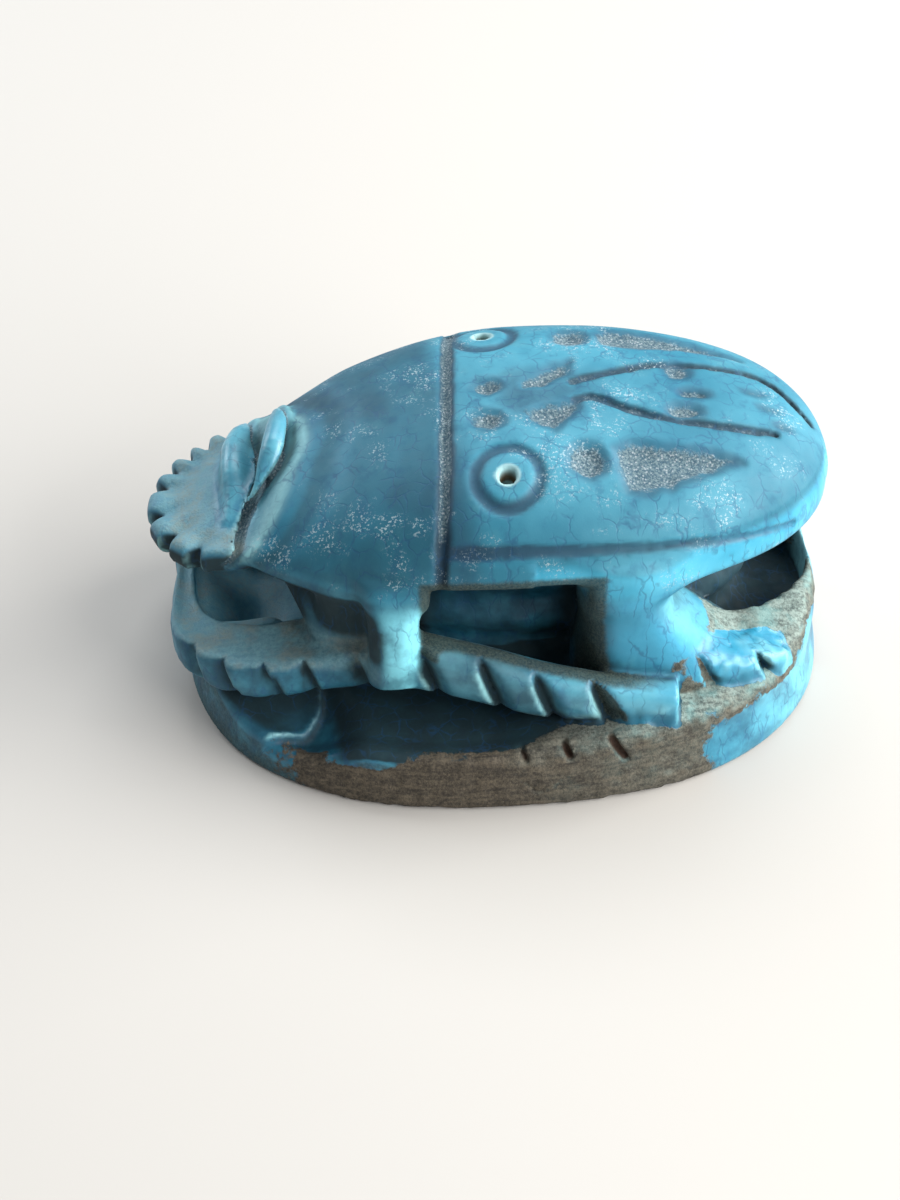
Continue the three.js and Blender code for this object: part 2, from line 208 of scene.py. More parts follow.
def base_top(x, y, inset):
    """Height of the base's upper side, its rim lower at the near front."""
    away = np.abs(y)
    rim = rim_front + (rim_rear - rim_front) * ease(*rim_climb, x)
    rim = rim - near_dip * ease(*dip_along, x) * ease(*dip_across, y)
    scoop = scoop_depth * ease(*scoop_side, inset) * (1 - ease(*scoop_end, x))
    ledge = oval(x - ledge_middle[0], away + ledge_middle[1], *ledge_reach, 2.6)
    ledge = ledge + 0.5 * lumps(x, y, 0 * x, 2.2)
    rim = rim + ledge_rise * (1 - ease(-0.5, 0.2, ledge)) * ease(-15, -20, x) * ease(-6, -9, y)
    rise = crest_rise * (1 - ease(*crest_fall, crest_form(x, y))) * ease(*crest_start, x)
    fore = np.maximum(ease(-24, -30, x), ease(-18, -23, x) * ease(5.4, 6.6, away))
    fore = fore * ease(*under_head, away)
    rough_places = ease(4, 14, x) + ease(-17, -20, x) * ease(*under_head, away)
    rough = rough_rise * lumps(x, y, 0 * x, 2.6, 3) * rough_places
    rim = rim + fore_rise * fore
    return rim - scoop * (1 - fore) + rise + rough


def base_form(x, y, z):
    wall = oval(x, y, base_reach - wall_inset, base_side - wall_inset, base_bend)
    wall = wall + wall_lean * ease(0, rim_front, z)
    top = base_top(x, y, -wall)
    form = keep_both(wall, (z - top) * 0.9, 1.0 + 1.2 * ease(-8, 6, x))
    form = keep_both(form, -z, 0.5)
    form = form + wall_marks(x, y, z)
    trench = np.maximum(crest_form(x, y), trench_floor - z)
    return cut(form, trench, 0.5)


# Core: the stone left standing between the belly and the base when the windows were
# cut through, with the wide grooves of the tool running along it.
core_fore = 20.0
core_aft = 22.0
core_side = 10.2
core_middle = 2.0
core_level = 11.5
core_half_height = 8
tool_band = 5.4
tool_band_place = 10.6
tool_slope = 0.03
tool_depth = 0.55


def core_form(x, y, z):
    reach = np.where(x < core_middle, core_fore, core_aft)
    form = oval(x - core_middle, y, reach, core_side, 2.15)
    groove = np.cos(2 * np.pi * (z - tool_band_place + tool_slope * x) / tool_band)
    form = form - tool_depth * groove + 0.12 * lumps(x, y, z, 1.1, 5)
    return keep_both(form, np.abs(z - core_level) - core_half_height, 0.3)


# Body: a high oval dome above the widest line, a shallow belly below it, and a
# leaning collar face in front, where the thorax ends in a low lip.
belt = 19.0
body_middle = 2.0
body_fore = 31.0
body_aft = 28.6
body_side = 17.2
back_rise = high_corner[2] - belt
belly_drop = 4.2
belly_rise = 1.7
belly_bend = 2
plan_bend = 2.2
front_bend = 2.03
section_bend = 2.65
section_fall = 0.3
brow_fall = 0.55
tail_lift = 1.2
crest_place = 1.0
brow_reach = 26.4
brow_bend = 1.66
lowest_brow = 0.22
lowest_arch = 0.2
collar_place = -24.8
collar_lean = math.radians(40.5)
collar_lip = 0.3
collar_groove = 0.65
collar_bulge = 0.45
collar_middle = 1.3

# Where along the beetle the body's forms change.
lift_run = (6, 20)
belly_run = (6, 13)
section_run = (-5, -18)
brow_run = (-14, -21)


def body_form(x, y, z):
    lift = tail_lift * ease(*lift_run, x)
    above = z > belt + lift
    reach = np.where(x < body_middle, body_fore, body_aft)
    bend = np.where(x < body_middle, front_bend, plan_bend)
    u = np.abs(x - body_middle) / reach + 1e-6
    v = np.abs(y) / body_side + 1e-6
    plan = (u**bend + v**bend) ** (1 / bend)
    plan_slope = np.hypot((u / plan) ** (bend - 1) / reach, (v / plan) ** (bend - 1) / body_side)
    section = section_bend - section_fall * ease(*section_run, x) - brow_fall * ease(*brow_run, x)
    brow = round_fall((x - crest_place) / brow_reach, brow_bend)
    brow = brow / np.maximum(lowest_arch, round_fall((x - body_middle) / body_fore, section))
    brow = np.where(x < crest_place, np.maximum(lowest_brow, brow), 1)
    rise = np.where(above, back_rise * brow - lift, belly_drop - belly_rise * ease(*belly_run, x))
    section = np.where(above, section, belly_bend)
    height = np.abs(z - belt - lift) / rise + 1e-6
    level = (plan**section + height**section) ** (1 / section)
    slope = np.hypot((plan / level) ** (section - 1) * plan_slope,
                     (height / level) ** (section - 1) / rise)
    return (level - 1) / slope


def collar_face(x, y, z):
    """Distance behind the leaning face in which the thorax ends, bulged at its sides."""
    bulge = collar_bulge * ease(1.5, 5, np.abs(y - collar_middle))
    return (x - collar_place) * math.cos(collar_lean) - (z - belt) * math.sin(collar_lean) + bulge


# Head: a fan of finger-like lobes with short deep gaps between them, behind them a
# smooth raised crescent, a dusty valley and a second ridge against the thorax.
head_place = -24.2
head_reach = 10.0
head_side = 10.2
head_top = 22.4
head_tip = 18.5
head_thickness = 3.2
lobe_gaps = (-76, -60, -47, -32, -16, 9, 31, 54)
gap_depth = 1.9
gap_half = 0.95
flute_depth = 0.55
flute_half = 0.8
flute_run = (4.5, 8.5)
head_dish = 0.45
head_lip = 0.5
side_fall = 0.4
near_lobes_short = (0.4, 0.6)
crescent_line = ((-23.8, 8.7, 20.2), (-24.9, 6.3, 21.0), (-25.5, 3.3, 21.5), (-25.6, 0.5, 21.5),
                 (-25.6, -1.9, 20.9), (-26.0, -4.4, 20.0))
crescent_radii = (0.6, 1.25, 1.4, 1.25, 0.85, 0.4)
neck_line = ((-20.7, 7.0, 23.0), (-20.8, 5.4, 24.0), (-21.2, 2.8, 24.7), (-21.7, 0.2, 24.7),
             (-22.4, -1.4, 23.8), (-23.1, -3.0, 22.4), (-23.9, -4.6, 20.7), (-24.7, -6.4, 18.8))
neck_radii = (0.9, 1.05, 1.15, 1.1, 0.85, 0.6, 0.45, 0.4)
neck_rise = 2.3
neck_run = (-23.4, -21.6)
head_rear = -17.5
crescent_blend = 1.3
neck_blend = 1.4


def nearest_on_line(x, y, points):
    """Distance to a row of plan points and the share of its length at the foot."""
    points = np.array(points, dtype=float)
    steps = np.diff(points, axis=0)
    lengths = np.hypot(steps[:, 0], steps[:, 1])
    starts = np.concatenate(([0], np.cumsum(lengths)))
    best = np.full(np.shape(x), 1e9)
    share = np.zeros(np.shape(x))
    for (px, py), (sx, sy), length, start in zip(points, steps, lengths, starts):
        along = np.clip(((x - px) * sx + (y - py) * sy) / length**2, 0, 1)
        gap = np.hypot(x - px - along * sx, y - py - along * sy)
        nearer = gap < best
        best = np.where(nearer, gap, best)
        share = np.where(nearer, (start + along * length) / starts[-1], share)
    return best, share


def smooth_line(points, count=20):
    """Rounds a row of given points off into a curve of even steps."""
    points = np.array(points, dtype=float)
    row = np.vstack((2 * points[0] - points[1], points, 2 * points[-1] - points[-2]))
    out = []
    for share in np.linspace(0, len(points) - 1, count):
        i = min(int(share), len(points) - 2)
        t = share - i
        a, b, c, d = row[i:i + 4]
        out.append(0.5 * (2 * b + (c - a) * t + (2 * a - 5 * b + 4 * c - d) * t**2
                          + (3 * b - a - 3 * c + d) * t**3))
    return out


def tube_form(x, y, z, line, radii):
    """Rounded ridge along a row of places, its thickness changing along it."""
    row = np.array(smooth_line(line))
    radii = np.interp(np.linspace(0, 1, len(row)), np.linspace(0, 1, len(radii)), radii)
    best = np.full(np.shape(x), 1e9)
    for start, end, first, last in zip(row[:-1], row[1:], radii[:-1], radii[1:]):
        step = end - start
        away = [x - start[0], y - start[1], z - start[2]]
        along = np.clip((away[0] * step[0] + away[1] * step[1] + away[2] * step[2]) / (step @ step), 0, 1)
        gap = np.sqrt(sum((part - along * run) ** 2 for part, run in zip(away, step)))
        best = np.minimum(best, gap - first - (last - first) * along)
    return best


def head_surface(x, y):
    """Height of the head's top before its lobes and ridges."""
    forward = np.clip((head_place + 3 - np.minimum(x, head_place + 2)) / (head_reach + 3), 0, 1.3)
    fall = head_top - head_tip
    return head_top - fall * forward**1.1 - side_fall * fall * np.abs(y / head_side) ** 2.2


def head_form(x, y, z):
    """Fan of lobes: its plan from the turn round its middle, its top from the surface."""
    ahead = -(x - head_place)
    turn = np.degrees(np.arctan2(-y * head_reach / head_side, ahead))
    span = np.hypot(ahead, y * head_reach / head_side)
    gap = np.full(np.shape(x), 1e9)
    for lobe_gap in lobe_gaps:
        gap = np.minimum(gap, np.abs(turn - lobe_gap))
    gap = np.radians(gap) * np.minimum(span, head_reach)
    top = head_surface(x, y) - flute_depth * np.exp(-(gap / flute_half) ** 2) * ease(*flute_run, span)
    top = top - head_dish * ease(2, 5, span) + head_lip * ease(7, 9, span)
    top = top + neck_rise * ease(*neck_run, x) * (1 - ease(2, 8, np.abs(y - 1.5)))
    middle = top - head_thickness / 2
    under = np.maximum(0, middle - z)
    rim = oval(ahead, y, head_reach, head_side, 2)
    rim = rim + near_lobes_short[0] * ease(10, 50, turn) + near_lobes_short[1] * ease(52, 70, turn)
    rim = rim + 0.35 * under
    rim = rim + 0.75 * np.maximum(0, gap_depth * (1 - gap / gap_half))
    thick = head_thickness / 2 + 0.8 * (1 - ease(2, 8, span)) * (under > 0)
    form = keep_both(rim, (np.abs(z - middle) - thick) * 0.92, 0.9)
    form = keep_both(form, x - head_rear, 0.5)
    form = join(form, tube_form(x, y, z, crescent_line, crescent_radii), crescent_blend)
    return join(form, tube_form(x, y, z, neck_line, neck_radii), neck_blend)


# Legs: bars folded along the base with slanted notches filed in their outer side,
# and the thick upright parts that join them to the body. Both sides are alike.
def among(x, y, z):
    """Place among the legs, as shares of the base's plan and of the way up to the belt."""
    return (x * base_reach, y * base_side, rim_front + z * (belt - rim_front))


front_leg = dict(
    path=(among(-0.4, 0.5, 0.36), among(-0.606, 0.492, 0.29), among(-0.752, 0.494, 0.245),
          among(-0.888, 0.413, 0.21), among(-0.955, 0.308, 0.195), among(-0.978, 0.162, 0.175),
          among(-0.978, 0, 0.167)),
    widths=(7.2, 6.7, 6.6, 6.1, 4.4, 2.4, 1.6), heights=(4.4, 4.3, 4.4, 4.5, 4.3, 4.0, 3.8),
    notches=(0.06, 0.24, 0.37, 0.49, 0.6), slant=-0.3, bend=4.5, dish=0.45, ends=(0.9, 1),
    before=0.45, after=1.5, deep=1.0)
middle_leg = dict(
    path=(among(-0.4, 0.62, 0.52), among(-0.14, 0.7, 0.42), among(0.1, 0.755, 0.28),
          among(0.44, 0.8, 0.19)),
    widths=(4.0, 4.0, 3.8, 3.5), heights=(5.9, 5.5, 5.1, 4.5),
    notches=(0.16, 0.375, 0.555, 0.745), slant=0.38, bend=2.7, dish=0, ends=(0.8, 1),
    before=0.45, after=1.9, deep=1.4)
hind_foot = dict(
    path=(among(0.4, 0.6, 0.3), among(0.5, 0.62, 0.26), among(0.64, 0.61, 0.2),
          among(0.8, 0.53, 0.14)),
    widths=(4.8, 4.8, 4.6, 4.0), heights=(5.2, 4.8, 3.8, 2.4),
    notches=(0.36, 0.76), slant=0.45, bend=3.2, dish=0, ends=(0.8, 0.7),
    before=0.6, after=0.9, deep=1.5)

# Upright parts: half length, half width and bend of the outline, then stops, each
# with the middle's place and the shares of the half sizes there.
shoulder = (2.2, 2.6, 3.0, (
    (among(-0.365, 0.595, 0.24), 0.8, 0.7), (among(-0.365, 0.63, 0.36), 1.05, 1.0),
    (among(-0.362, 0.635, 0.6), 0.95, 1.0), (among(-0.36, 0.6, 0.86), 1.05, 1.05),
    (among(-0.35, 0.5, 1.15), 1.7, 1.3)))
shoulder_web = (3.8, 3.5, 2.6, (
    (among(-0.44, 0.34, -0.05), 0.95, 0.97), (among(-0.44, 0.4, 0.4), 1.1, 1.08),
    (among(-0.44, 0.4, 1), 1.2, 1.14)))
upper_arm = (4.2, 2.9, 2.6, (
    (among(-0.44, 0.45, 0.3), 0.8, 1.0), (among(-0.48, 0.43, 0.5), 0.95, 0.95),
    (among(-0.54, 0.29, 0.8), 1.05, 0.85), (among(-0.59, 0.27, 1.05), 1.15, 0.9)))
thigh = (4.3, 4.1, 3.4, (
    (among(0.382, 0.56, 0.0), 1.16, 1.02), (among(0.38, 0.56, 0.2), 1.14, 1.02),
    (among(0.333, 0.545, 0.57), 1.0, 0.96), (among(0.3, 0.535, 0.8), 0.76, 0.94),
    (among(0.27, 0.53, 0.96), 0.55, 0.96), (among(0.27, 0.49, 1.2), 0.7, 1.0)))
haunch = (4.6, 4.4, 2.4, (
    (among(0.47, 0.48, 0.0), 1.95, 1.18), (among(0.43, 0.48, 0.24), 1.68, 1.12),
    (among(0.4, 0.48, 0.4), 1.28, 1.07), (among(0.37, 0.48, 0.56), 0.9, 0.98),
    (among(0.33, 0.48, 0.75), 0.62, 0.88), (among(0.31, 0.46, 1.1), 0.7, 1.0)))


def leg_form(x, y, z, leg):
    """A leg's bar along its path, with its notches filed in from the outer side."""
    row = np.array(smooth_line(leg["path"], 22))
    steps = np.diff(row[:, :2], axis=0)
    lengths = np.hypot(steps[:, 0], steps[:, 1])
    starts = np.concatenate(([0], np.cumsum(lengths)))
    total = starts[-1]
    best = np.full(np.shape(x), 1e9)
    side = np.zeros(np.shape(x))
    place = np.zeros(np.shape(x))
    past = np.zeros(np.shape(x))
    turn = np.sign(steps[0, 0] * row[0, 1] - steps[0, 1] * row[0, 0])
    for i, ((px, py), (sx, sy)) in enumerate(zip(row[:-1, :2], steps)):
        sx, sy = sx / lengths[i], sy / lengths[i]
        run = (x - px) * sx + (y - py) * sy
        held = np.clip(run, 0, lengths[i])
        off = ((x - px) * -sy + (y - py) * sx) * turn
        gap = np.hypot(off, run - held)
        nearer = gap < best
        best = np.where(nearer, gap, best)
        side = np.where(nearer, off, side)
        place = np.where(nearer, starts[i] + held, place)
        past = np.where(nearer, np.abs(run - held) * ((i == 0) | (i == len(steps) - 1)), past)
    share = place / total
    middle = np.interp(share, starts / total, row[:, 2])
    taper = np.minimum(1, np.minimum(leg["ends"][0] + 5 * share, leg["ends"][1] + 5 * (1 - share)))
    stops = np.linspace(0, 1, len(leg["widths"]))
    half = np.interp(share, stops, leg["widths"]) / 2 * taper
    tall = np.interp(share, stops, leg["heights"]) / 2 * taper
    up = z - middle
    form = oval(side, up, half, tall, leg["bend"])
    form = keep_both(form, up - tall + leg["dish"] * (1 - np.minimum(1, side / half) ** 2), 0.25)
    form = keep_both(form, past - 0.2, 0.4)
    for stop in leg["notches"]:
        across = place - stop * total + leg["slant"] * up
        reach = np.where(across < 0, leg["before"], leg["after"])
        bite = leg["deep"] * (1 - np.abs(across) / reach)
        form = cut(form, 0.7 * (half - bite - side), 0.4)
    return form


def upright_form(x, y, z, part):
    """An upright part of a leg, its outline changing from stop to stop."""
    half_length, half_width, bend, stops = part
    places = np.array([stop[0] for stop in stops])
    shares = np.array([stop[1:] for stop in stops])
    heights = places[:, 2]
    middle_x = np.interp(z, heights, places[:, 0])
    middle_y = np.interp(z, heights, places[:, 1])
    long = half_length * np.interp(z, heights, shares[:, 0])
    wide = half_width * np.interp(z, heights, shares[:, 1])
    form = oval(x - middle_x, y - middle_y, long, wide, bend)
    caps = np.maximum(heights[0] - z, z - heights[-1])
    return keep_both(form, caps, 0.6)


# Side windows: cut in from both sides under the belly, between the legs, as far as
# the core.
window_front = -8.4
window_rear = 6.6
window_floor = 12
window_drop = 2.5
window_slope = 0.72


def window_form(x, y, z):
    """Distance to a window's cutter, negative inside it."""
    ends = np.maximum(window_front - x, x - window_rear)
    roof = belt - window_drop + (y - core_side) * window_slope
    walls = np.maximum(core_side - 1 - y, window_floor - z)
    return np.maximum(np.maximum(ends, z - roof), walls)


# Carving of the back: rings with drilled eyes, pits, wedges and long lines, cut
# about a millimetre deep with a small chisel. Plan places are in millimetres, the
# near wing case first.
thorax_line = ((-4.0, 14), (-4.7, 10.4), (-5.5, 0.7), (-6.3, -8.7), (-7.0, -14.8), (-7.3, -16.6),
               (-7.3, -19))
eye_places = ((-0.9, -10.3), (-1.3, 10.5))
eye_ring = 2.9
ring_half = 0.55
eye_radius = 0.62
pits = (((6.3, -9.0), (2.0, 2.1)), ((6.9, 9.2), (2.0, 1.9)),
        ((-2.1, -3.6), (1.75, 1.5)), ((-1.6, 1.1), (1.75, 1.4)),
        ((17.3, -0.7), (1.6, 0.75)), ((23.2, 0.4), (1.25, 0.35)), ((24.2, -1.5), (1.0, 0.35)),
        ((16.1, 2.7), (1.5, 1.5)), ((16.0, -3.2), (1.9, 1.1)), ((25.3, -3.6), (1.0, 0.4)))
wedges = (((8.7, -7.8), (8.8, -10.2), (9.7, -12.1), (11, -12.3), (13.6, -11.7), (17.3, -10.2),
           (20.4, -8.7), (18.3, -8.0), (14.2, -7.4), (10.6, -7.0)),
          ((9.6, 7.6), (9.4, 10.2), (10.6, 11.3), (14.7, 10.6), (19, 8.8), (23, 6.4), (18, 7.0),
           (12.4, 6.8)),
          ((0.9, -2.7), (3.1, -1.8), (6.6, -1.4), (6.5, -2.8), (3.8, -5.7), (1.8, -4.4)),
          ((1.3, 1.7), (3.7, 3.4), (6.4, 4.5), (6.2, 2.2), (3.4, 0.5), (1.2, 0.4)))
lines = ((((6.2, -1.5), (7.9, -1.2), (10.4, -2.8), (12.9, -3.9), (15.8, -4.6), (18.9, -4.9), (22, -5.0),
           (24.3, -4.7)), 0.6, 0.35),
         (((6.2, 1.2), (8.3, 1.9), (11.3, 2.8), (14.6, 3.7), (16.3, 3.8), (19.3, 3.7), (23.3, 3.5),
           (25.6, 2.5), (27.5, 0.3), (28.6, -1.3)), 0.5, 0.3))

# The flank groove's places are lengths along the beetle and heights.
flank_line = ((-6.6, 24.4), (0.8, 24.8), (7.6, 24.5), (14.6, 24.0), (22.9, 22.4), (25.4, 21.6))
pit_depth = 0.85
thorax_depth = 0.55
line_depth = 0.45
flank_depth = 0.22
ring_depth = 0.3
eye_depth = 1.9


def polygon_edge(x, y, corners):
    """Distance to a plan outline, negative inside it."""
    best = np.full(np.shape(x), 1e9)
    inside = np.zeros(np.shape(x), bool)
    for start, end in zip(corners, corners[1:] + corners[:1]):
        best = np.minimum(best, edge_gap(x, y, start, end))
        sx, sy = end[0] - start[0], end[1] - start[1]
        crosses = (start[1] > y) != (end[1] > y)
        inside ^= crosses & (x < start[0] + sx * (y - start[1]) / (sy if sy else 1e-9))
    return np.where(inside, -best, best)


def carving(x, y, z):
    """Depth of the cuts and, from 0 to 1, how much dirt, pooled glaze and eye a place has."""
    wander = 0.16 * lumps(x, y, 0 * x, 0.9, 7)
    depth = np.zeros(np.shape(x))
    dirt = np.zeros(np.shape(x))
    pooled = np.zeros(np.shape(x))
    eye = np.zeros(np.shape(x))
    sunk = []
    for (px, py), (rx, ry) in pits:
        sunk.append((oval(x - px, y - py, rx, ry, 2), 1 if ry > 0.6 else 0.4))
    for corners in wedges:
        sunk.append((polygon_edge(x, y, corners) - 0.15, 1))
    for edge, share in sunk:
        edge = edge + wander
        depth = np.maximum(depth, share * pit_depth * (1 - ease(-1.8, 0.6, edge)))
        dirt = np.maximum(dirt, 1 - ease(-1.3, 0.35, edge))
        pooled = np.maximum(pooled, 0.6 * (1 - ease(-0.2, 0.7, edge)))
    away, share = nearest_on_line(x, y, thorax_line)
    away = away + 0.6 * wander
    depth = np.maximum(depth, thorax_depth * (1 - ease(0.1, 0.85, away)))
    dirt = np.maximum(dirt, (1 - ease(0.2, 0.8, away)) * ease(-15.2, -13.2, y))
    pooled = np.maximum(pooled, 1 - ease(0.3, 1.0, away))
    for points, start_half, end_half in lines:
        away, share = nearest_on_line(x, y, smooth_line(points, 18))
        half = start_half + (end_half - start_half) * share
        away = away + 0.6 * wander
        depth = np.maximum(depth, line_depth * (1 - ease(0.1, half * 1.35, away)))
        trace = 1 - ease(half * 0.6, half * 1.3, away)
        pooled = np.maximum(pooled, trace)
        dirt = np.maximum(dirt, 0.4 * trace)
    away, share = nearest_on_line(x, z, flank_line)
    away = np.where(np.abs(y) > 8, away, 9) + 0.5 * wander
    half = 0.6 - 0.3 * share
    depth = np.maximum(depth, flank_depth * (1 - ease(0.1, half * 1.35, away)))
    pooled = np.maximum(pooled, (1 - 0.5 * share) * (1 - ease(half * 0.7, half * 1.3, away)))
    dirt = np.maximum(dirt, 0.3 * (1 - share) * (1 - ease(half * 0.7, half * 1.6, away)))
    for ex, ey in eye_places:
        away = np.hypot(x - ex, y - ey)
        ring = np.abs(away - eye_ring) + 0.4 * wander
        depth = np.maximum(depth, ring_depth * (1 - ease(0.1, ring_half * 1.6, ring)))
        pooled = np.maximum(pooled, 0.9 * (1 - ease(ring_half * 0.5, ring_half * 1.4, ring)))
        depth = np.maximum(depth, eye_depth * (1 - ease(eye_radius * 0.6, eye_radius * 1.5, away)))
        eye = np.maximum(eye, 1 - ease(eye_radius * 0.8, eye_radius * 2.4, away))
    return depth, dirt, pooled, eye


# Parts of one side in the order in which they join the body: kind of form, sizes,
# width of the join, and where the part counts: its top, ends and inner side.
far = 99
side_parts = (
    (upright_form, shoulder_web, 1.2, 24, (-far, -4), 3),
    (upright_form, upper_arm, 1.6, 24, (-far, -4), 3),
    (leg_form, front_leg, 1.6, 17.5, (-far, -9), -1),
    (upright_form, shoulder, 0.7, 24, (-far, -4), 3),
    (upright_form, thigh, 1.6, 24, (1, far), 3),
    (upright_form, haunch, 4.4, 24, (1, far), 3),
    (leg_form, middle_leg, 0.6, 17.5, (-17, 17), 11),
    (leg_form, hind_foot, 0.8, 17.5, (4, far), 6),
)
core_blend = 1.0
collar_blend = 0.35
window_blend = 0.8
head_blend = 0.25
body_blend = 0.5
groove_place = 0.3
stone_wander = 0.12
stone_roughness = 0.1


def stone_form(x, y, z):
    """Distance to the skin of the whole amulet."""
    away = np.abs(y)
    form = only_near(z < 14, base_form, x, y, z)
    form = join(form, core_form(x, y, z), core_blend)
    body = body_form(x, y, z)
    near = (np.abs(body) < 2.5) & (z > belt)
    body[near] += carving(x[near], y[near], z[near])[0] * ease(belt, belt + 1.2, z[near])
    face = collar_face(x, y, z)
    body = body - collar_lip * (1 - ease(0.2, 1.8, face))
    body = keep_both(body, -face, collar_blend)
    body = cut(body, window_form(x, away, z), window_blend)
    for kind, sizes, blend, top, (fore, aft), inner in side_parts:
        near = (z < top) & (x > fore) & (x < aft) & (away > inner)
        body = join(body, only_near(near, kind, x, away, z, sizes), blend)
    body = join(body, only_near((x < -15) & (z > 12), head_form, x, y, z), head_blend)
    groove = 1 - ease(0.1, 0.55, np.abs(face + groove_place))
    body = body + collar_groove * groove * ease(17, 18.5, z)
    form = join(form, body, body_blend)
    form = form + stone_wander * lumps(x, y, z, 9, 9)
    lower = z < 13
    places = (x[lower], y[lower], z[lower])
    form[lower] += stone_roughness * lumps(*places, 0.8, 17) * bare_stone(*places)
    return keep_both(form, -z, 0.3)


# Bare stone: where the glaze never took or wore off, low on the near side of the
# base and on the rough top behind.
def bare_stone(x, y, z):
    edge = 1.4 * lumps(x, y, z, 3.2, 21) + 0.6 * lumps(x, y, z, 1.1, 23)
    inset = -oval(x, y, base_reach, base_side, base_bend)
    side = ease(0, -6, y + edge) * ease(-26, -19, x + 2 * edge) * ease(21, 15, x + 2 * edge)
    height = 3.9 + 2.2 * ease(-16, -8, x) + 3.4 * ease(-5, 3, x)
    low = side * ease(0.6, -0.6, z - height + 0.5 * edge) * ease(3.2, 1.6, inset - 2.5 * ease(-2, 6, x))
    shelf = ease(12, 16, x + 1.5 * edge) * ease(12.6, 11.0, z) * ease(5.4, 6.4, z)
    shelf = shelf * ease(0.3, 2.2, inset - 0.8 * edge)
    return np.maximum(low, shelf)


# Mesh: the skin is found on a fine grid round the stone, then each corner is moved
# onto the exact form, so that notches and cuts stay crisp.
grid_step = 0.31
block = 4
margin = 1.2
triangle_limit = 190000
cell_corners = [(corner & 1, corner >> 1 & 1, corner >> 2 & 1) for corner in range(8)]


def sample_grid():
    """Values of the form on a grid, exact near the skin and only signs elsewhere."""
    start = low_corner - margin
    count = np.ceil((high_corner + margin - start) / (grid_step * block)).astype(int)
    axes_mm = [start[a] + grid_step * np.arange(count[a] * block + 1) for a in range(3)]
    shape = [len(axis) for axis in axes_mm]
    middles = [start[a] + grid_step * block * (np.arange(count[a]) + 0.5) for a in range(3)]
    places = [part.ravel() for part in np.meshgrid(*middles, indexing="ij")]
    coarse = stone_form(*places).reshape(count)
    near = np.abs(coarse) < grid_step * block * 1.35
    whole_block = np.ones((block, block, block))
    values = np.kron(np.where(coarse < 0, -9.0, 9.0), whole_block)
    values = np.pad(values, ((0, 1), (0, 1), (0, 1)), mode="edge")
    wanted = np.zeros(shape, bool)
    fine = np.kron(near, whole_block) > 0
    for dx, dy, dz in cell_corners:
        wanted[dx:shape[0] - 1 + dx, dy:shape[1] - 1 + dy, dz:shape[2] - 1 + dz] |= fine
    index = np.nonzero(wanted)
    values[index] = stone_form(*(axes_mm[a][index[a]] for a in range(3)))
    return values, start


def skin_mesh(values, start):
    """Corners and four-sided faces round every grid cell that the skin passes."""
    inside = values < 0
    shape = np.array(values.shape) - 1
    mixed = np.zeros(shape, int)
    for dx, dy, dz in cell_corners:
        mixed += inside[dx:shape[0] + dx, dy:shape[1] + dy, dz:shape[2] + dz]
    cells = np.argwhere((mixed > 0) & (mixed < 8))
    number = np.full(shape, -1)
    number[tuple(cells.T)] = np.arange(len(cells))
    total = np.zeros((len(cells), 3))
    weight = np.zeros(len(cells))
    for axis in range(3):
        others = [other for other in range(3) if other != axis]
        for corner in range(4):
            first = cells.copy()
            first[:, others[0]] += corner & 1
            first[:, others[1]] += corner >> 1
            second = first.copy()
            second[:, axis] += 1
            a = values[tuple(first.T)]
            b = values[tuple(second.T)]
            crossing = (a < 0) != (b < 0)
            share = np.where(crossing, a / np.where(crossing, a - b, 1), 0)
            spot = first.astype(float)
            spot[:, axis] += share
            total += spot * crossing[:, None]
            weight += crossing
    corners = start + grid_step * total / weight[:, None]
    faces = []
    for axis in range(3):
        others = [(axis + 1) % 3, (axis + 2) % 3]
        low = [slice(1, -1)] * 3
        low[axis] = slice(0, -1)
        high = list(low)
        high[axis] = slice(1, None)
        first = inside[tuple(low)]
        second = inside[tuple(high)]
        edges = np.argwhere(first != second)
        outward = first[tuple(edges.T)]
        edges[:, others] += 1
        ring = []
        for step in ((-1, -1), (0, -1), (0, 0), (-1, 0)):
            cell = edges.copy()
            cell[:, others[0]] += step[0]
            cell[:, others[1]] += step[1]
            ring.append(number[tuple(cell.T)])
        ring = np.array(ring).T
        ring[~outward] = ring[~outward][:, ::-1]
        faces.append(ring)
    return corners, np.concatenate(faces)


def slope_at(points, reach=0.04):
    """Outward direction of the form, as long as it is steep."""
    slope = np.empty_like(points)
    for axis in range(3):
        shift = np.zeros(3)
        shift[axis] = reach
        ahead = stone_form(*(points + shift).T)
        behind = stone_form(*(points - shift).T)
        slope[:, axis] = (ahead - behind) / (2 * reach)
    return slope


def settle(points, rounds):
    """Moves corners onto the exact skin, and those by the underside onto its plane."""
    for _ in range(rounds):
        slope = slope_at(points)
        size = np.maximum(0.3, (slope**2).sum(1))
        step = stone_form(*points.T) / size
        points = points - slope * np.clip(step, -0.25, 0.25)[:, None]
    points[:, 2] = np.where(points[:, 2] < 0.04, 0, points[:, 2])
    return points


def mesh_object(name, corners, faces):
    mesh = bpy.data.meshes.new(name)
    mesh.from_pydata((corners * MM).tolist(), [], faces.tolist())
    mesh.validate()
    mesh.update()
    thing = bpy.data.objects.new(name, mesh)
    bpy.context.scene.collection.objects.link(thing)
    return thing


def applied(thing):
    """Replaces an object's mesh by what its modifiers make of it."""
    graph = bpy.context.evaluated_depsgraph_get()
    mesh = bpy.data.meshes.new_from_object(thing.evaluated_get(graph))
    thing.modifiers.clear()
    thing.data = mesh
    return mesh


